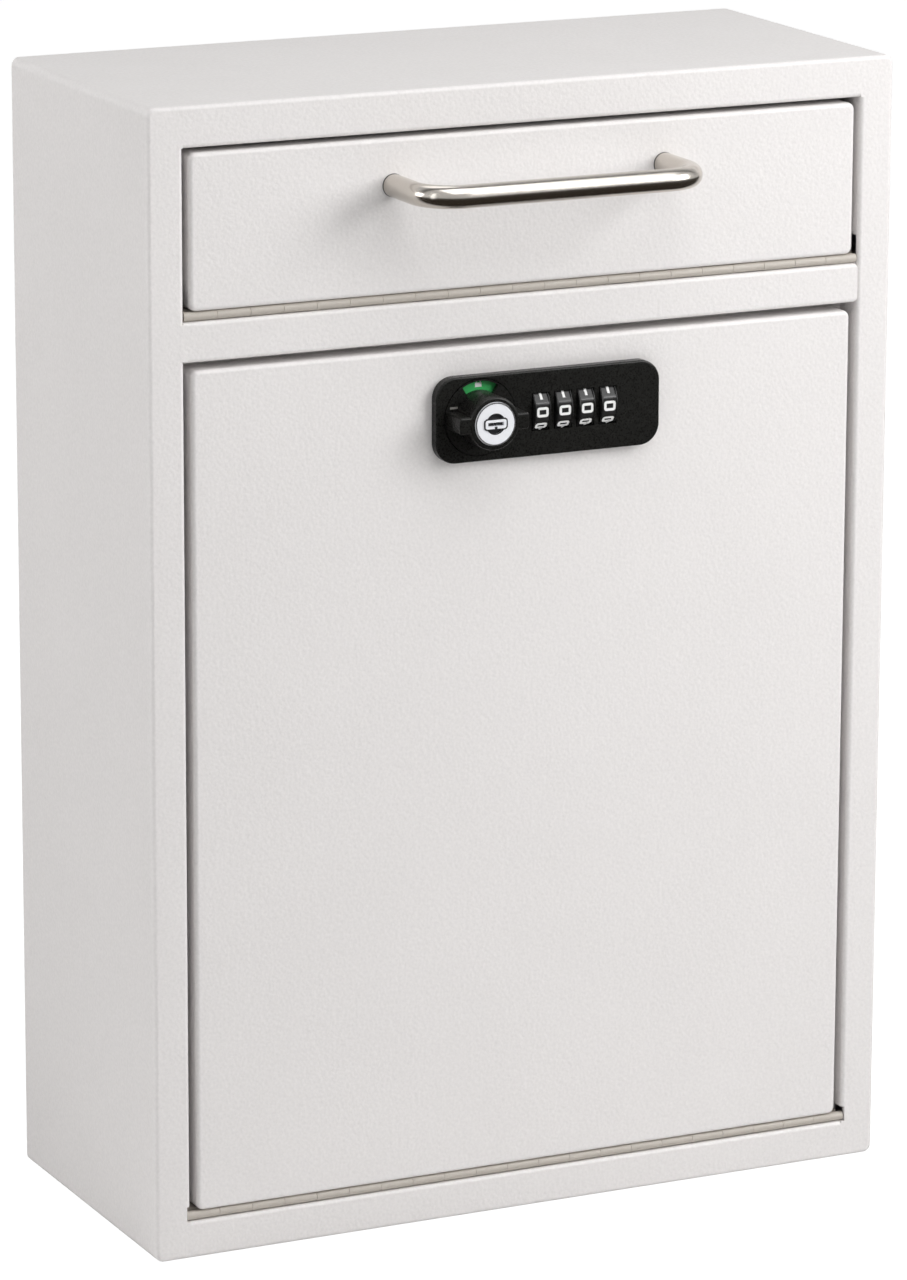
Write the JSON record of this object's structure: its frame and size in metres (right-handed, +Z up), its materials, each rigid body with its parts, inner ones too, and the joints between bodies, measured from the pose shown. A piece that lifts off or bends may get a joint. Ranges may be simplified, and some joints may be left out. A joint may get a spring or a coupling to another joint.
{
  "type": "key drop box",
  "caption": "Off-white wall-mounted steel drop box with a tilting top hopper, a D handle, a drop-down door and a black combination cam lock with number dials and a key override.",
  "frame": {"origin": "centre of the cabinet's base face: half of the cabinet's width and depth, on its underside", "axes": "+Z up, -Y out of the front, +X to the right as seen from the front"},
  "size_m": [0.286, 0.156, 0.408],
  "materials": {
    "powder_coat": "fine orange-peel powder coat, off-white",
    "hinge_steel": "continuous hinge, coated with the cabinet, bare at its ends",
    "zinc_fasteners": "zinc-plated",
    "handle_steel": "brushed stainless",
    "lock_black": "satin black",
    "dial_black": "semi-gloss black with white numbers",
    "sign_print": "printed green and red",
    "key_face": "cool white, black slot",
    "lock_brass": "machined",
    "spring_steel": "bright"
  },
  "bodies": {
    "root": {"cabinet_shell": "powder_coat", "back_panel": "powder_coat", "mid_rail": "powder_coat", "anti_fishing_baffle": "powder_coat", "door_hinge_fixed_leaf": "hinge_steel", "door_hinge_pin": "zinc_fasteners", "hopper_hinge_fixed_leaf": "hinge_steel", "hopper_hinge_pin": "zinc_fasteners"},
    "door": {"door_panel": "powder_coat", "door_side_folds": "powder_coat", "door_end_folds": "powder_coat", "door_hinge_moving_leaf": "hinge_steel", "lock_faceplate": "lock_black", "lock_sign": "sign_print", "lock_housing": "lock_black", "lock_rear_cover": "lock_black", "lock_cover_screws": "zinc_fasteners", "lock_fixing_screws": "zinc_fasteners", "lock_fixing_washers": "zinc_fasteners", "dial_axle": "spring_steel", "code_sleeves": "lock_brass", "dial_detent_spring": "spring_steel", "bar_spring": "spring_steel"},
    "hopper": {"hopper_panel": "powder_coat", "hopper_bin": "powder_coat", "hopper_handle": "handle_steel", "handle_screws": "zinc_fasteners", "handle_washers": "zinc_fasteners", "hopper_hinge_moving_leaf": "hinge_steel"},
    "knob": {"lock_knob": "lock_black", "spindle_ring": "lock_brass", "lock_cam": "zinc_fasteners", "cam_washer": "zinc_fasteners", "cam_screw": "zinc_fasteners"},
    "key": {"key_plug": "key_face", "key_wafers": "lock_brass"},
    "dial_a": {"dial_1": "dial_black"},
    "dial_b": {"dial_2": "dial_black"},
    "dial_c": {"dial_3": "dial_black"},
    "dial_d": {"dial_4": "dial_black"},
    "bar": {"lock_bar": "lock_brass"}
  },
  "joints": [
    {"name": "door_hinge", "type": "hinge", "parent": "root", "child": "door", "pos_m": [0, -0.059, 0.0153], "axis": [1, 0, 0], "range_deg": [0, 100]},
    {"name": "hopper_hinge", "type": "hinge", "parent": "root", "child": "hopper", "pos_m": [0, -0.059, 0.3358], "axis": [1, 0, 0], "range_deg": [0, 50]},
    {"name": "knob_turn", "type": "hinge", "parent": "door", "child": "knob", "pos_m": [-0.0206, -0.061, 0.2925], "axis": [0, 1, 0], "range_deg": [0, 90]},
    {"name": "key_turn", "type": "hinge", "parent": "knob", "child": "key", "pos_m": [-0.0206, -0.061, 0.2925], "axis": [0, 1, 0], "range_deg": [0, 90]},
    {"name": "dial_1_spin", "type": "hinge", "parent": "door", "child": "dial_a", "pos_m": [0.0028, -0.0574, 0.2925], "axis": [1, 0, 0], "continuous": true},
    {"name": "dial_2_spin", "type": "hinge", "parent": "door", "child": "dial_b", "pos_m": [0.0115, -0.0574, 0.2925], "axis": [1, 0, 0], "continuous": true},
    {"name": "dial_3_spin", "type": "hinge", "parent": "door", "child": "dial_c", "pos_m": [0.0202, -0.0574, 0.2925], "axis": [1, 0, 0], "continuous": true},
    {"name": "dial_4_spin", "type": "hinge", "parent": "door", "child": "dial_d", "pos_m": [0.0289, -0.0574, 0.2925], "axis": [1, 0, 0], "continuous": true},
    {"name": "bar_slide", "type": "slide", "parent": "door", "child": "bar", "axis": [1, 0, 0], "range_m": [0, 0.00115]}
  ],
  "couplings": [
    {"joint": "bar_slide", "follows": "knob_turn", "m_per_rad": 0.00073211}
  ]
}
